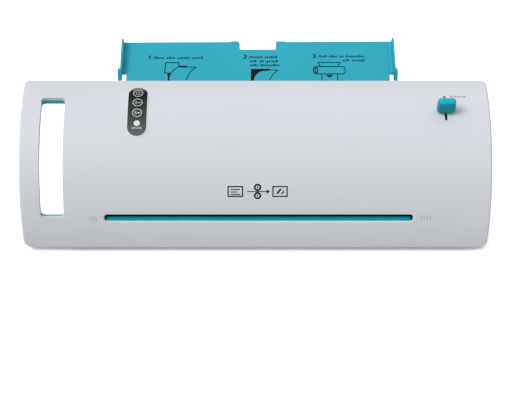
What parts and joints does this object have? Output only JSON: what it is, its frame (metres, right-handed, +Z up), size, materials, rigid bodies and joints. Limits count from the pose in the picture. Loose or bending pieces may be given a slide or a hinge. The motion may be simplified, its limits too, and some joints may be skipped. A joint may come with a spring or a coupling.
{
  "type": "pouch laminator",
  "caption": "Desktop pouch laminator: arched cover with a carrying grip, control strip, release lever, front exit slot and a folding rear feed tray over heated rollers.",
  "frame": {"origin": "middle of the footprint (feed tray open), on the table plane under the feet", "axes": "+X along the rollers to the right as seen from the front, +Y to the rear (feed side), +Z up"},
  "size_m": [0.394, 0.1966, 0.1084],
  "materials": {
    "aluminium": "drawn aluminium",
    "black_plastic": "moulded, black",
    "board": "solder-masked glass laminate",
    "bronze": "sintered bronze",
    "case_grey": "moulded, light grey",
    "cover_white": "fine moulded texture, cool off-white",
    "foot_rubber": "soft rubber",
    "gear_white": "moulded acetal",
    "knob_teal": "moulded, deep teal",
    "lamp": "milky light pipe",
    "led": "clear epoxy",
    "mica": "mica heating strip",
    "motor_zinc": "zinc-plated can",
    "parts_dark": "moulded component bodies",
    "sheet": "zinc-plated sheet steel",
    "silicone": "ground silicone rubber",
    "steel": "ground steel",
    "strip_dark": "glossy dark grey",
    "strip_rim": "light grey rim",
    "teal": "moulded, teal",
    "wire": "silicone-insulated wire"
  },
  "bodies": {
    "housing": {"ac_motor": "motor_zinc", "board_components": "parts_dark", "case_screws": "steel", "control_board": "board", "control_panel": "strip_dark", "feet": "foot_rubber", "frame_screws": "steel", "handle_liner": "teal", "heat_shield_lower": "sheet", "heat_shield_upper": "sheet", "heater_elements": "mica", "idler_pin": "steel", "input_guide_lower": "black_plastic", "input_guide_upper": "black_plastic", "light_pipe": "lamp", "lower_bushes": "bronze", "lower_case": "case_grey", "lower_heater_shoe": "aluminium", "main_board": "board", "motor_bracket": "sheet", "output_guide_lower": "teal", "output_guide_upper": "black_plastic", "panel_bezel": "strip_rim", "panel_screws": "steel", "power_cord": "black_plastic", "power_plug": "black_plastic", "pressure_springs": "steel", "ready_led": "led", "rear_panel": "case_grey", "side_frame_left": "sheet", "side_frame_right": "sheet", "strain_relief": "black_plastic", "tact_switches": "parts_dark", "thermal_fuse": "parts_dark", "thermostat": "aluminium", "tie_rods": "steel", "tray_hinge_pins": "steel", "upper_heater_shoe": "aluminium", "upper_shell": "cover_white", "wire_harness": "wire"},
    "tray": {"input_tray": "teal"},
    "lever": {"release_lever": "steel", "release_knob": "knob_teal", "cam_shaft": "steel", "lift_cams": "gear_white"},
    "carriage": {"bearing_carrier_left": "gear_white", "bearing_carrier_right": "gear_white", "upper_bushes": "bronze"},
    "upper_roller": {"upper_roller_shaft": "steel", "upper_roller_sleeve": "silicone", "upper_roller_gear": "gear_white"},
    "lower_roller": {"lower_roller_shaft": "steel", "lower_roller_sleeve": "silicone", "lower_roller_gear": "gear_white"},
    "idler": {"idler_gear": "gear_white"},
    "pinion": {"motor_pinion": "gear_white", "motor_shaft": "steel"},
    "power_key": {"power_button": "strip_dark"},
    "thin_key": {"thin_pouch_button": "strip_dark"},
    "thick_key": {"thick_pouch_button": "strip_dark"}
  },
  "joints": [
    {"name": "tray_hinge", "type": "hinge", "parent": "housing", "child": "tray", "pos_m": [0.0018, 0.0356, 0.02852], "axis": [1, 0, 0], "range_deg": [0, 74]},
    {"name": "lever_turn", "type": "hinge", "parent": "housing", "child": "lever", "pos_m": [0.1595, -0.01466, 0.05581], "axis": [-1, 0, 0], "range_deg": [-11, 20]},
    {"name": "carriage_lift", "type": "slide", "parent": "housing", "child": "carriage", "axis": [0, 0, 1], "range_m": [-0.00053, 0.00097], "deforming": ["pressure_springs"]},
    {"name": "lower_roller_spin", "type": "hinge", "parent": "housing", "child": "lower_roller", "pos_m": [0, -0.0443, 0.0255], "axis": [1, 0, 0], "continuous": true},
    {"name": "upper_roller_spin", "type": "hinge", "parent": "carriage", "child": "upper_roller", "pos_m": [0, -0.0443, 0.05115], "axis": [1, 0, 0], "continuous": true},
    {"name": "idler_spin", "type": "hinge", "parent": "housing", "child": "idler", "pos_m": [0.141, -0.0193, 0.0233], "axis": [1, 0, 0], "continuous": true},
    {"name": "pinion_spin", "type": "hinge", "parent": "housing", "child": "pinion", "pos_m": [0.141, -0.0023, 0.034], "axis": [1, 0, 0], "continuous": true},
    {"name": "power_key_press", "type": "slide", "parent": "housing", "child": "power_key", "axis": [0, -0.075, -0.9972], "range_m": [0, 0.0008], "stiffness_N_per_m": 400},
    {"name": "thin_key_press", "type": "slide", "parent": "housing", "child": "thin_key", "axis": [0, 0.0436, -0.999], "range_m": [0, 0.0008], "stiffness_N_per_m": 400},
    {"name": "thick_key_press", "type": "slide", "parent": "housing", "child": "thick_key", "axis": [0, 0.1633, -0.9866], "range_m": [0, 0.0008], "stiffness_N_per_m": 400}
  ],
  "couplings": [
    {"joint": "lever_turn", "follows": "carriage_lift", "rad_per_m": 360.7},
    {"joint": "upper_roller_spin", "follows": "lower_roller_spin", "ratio": -1},
    {"joint": "idler_spin", "follows": "lower_roller_spin", "ratio": -1},
    {"joint": "pinion_spin", "follows": "lower_roller_spin", "ratio": 1.6667}
  ]
}
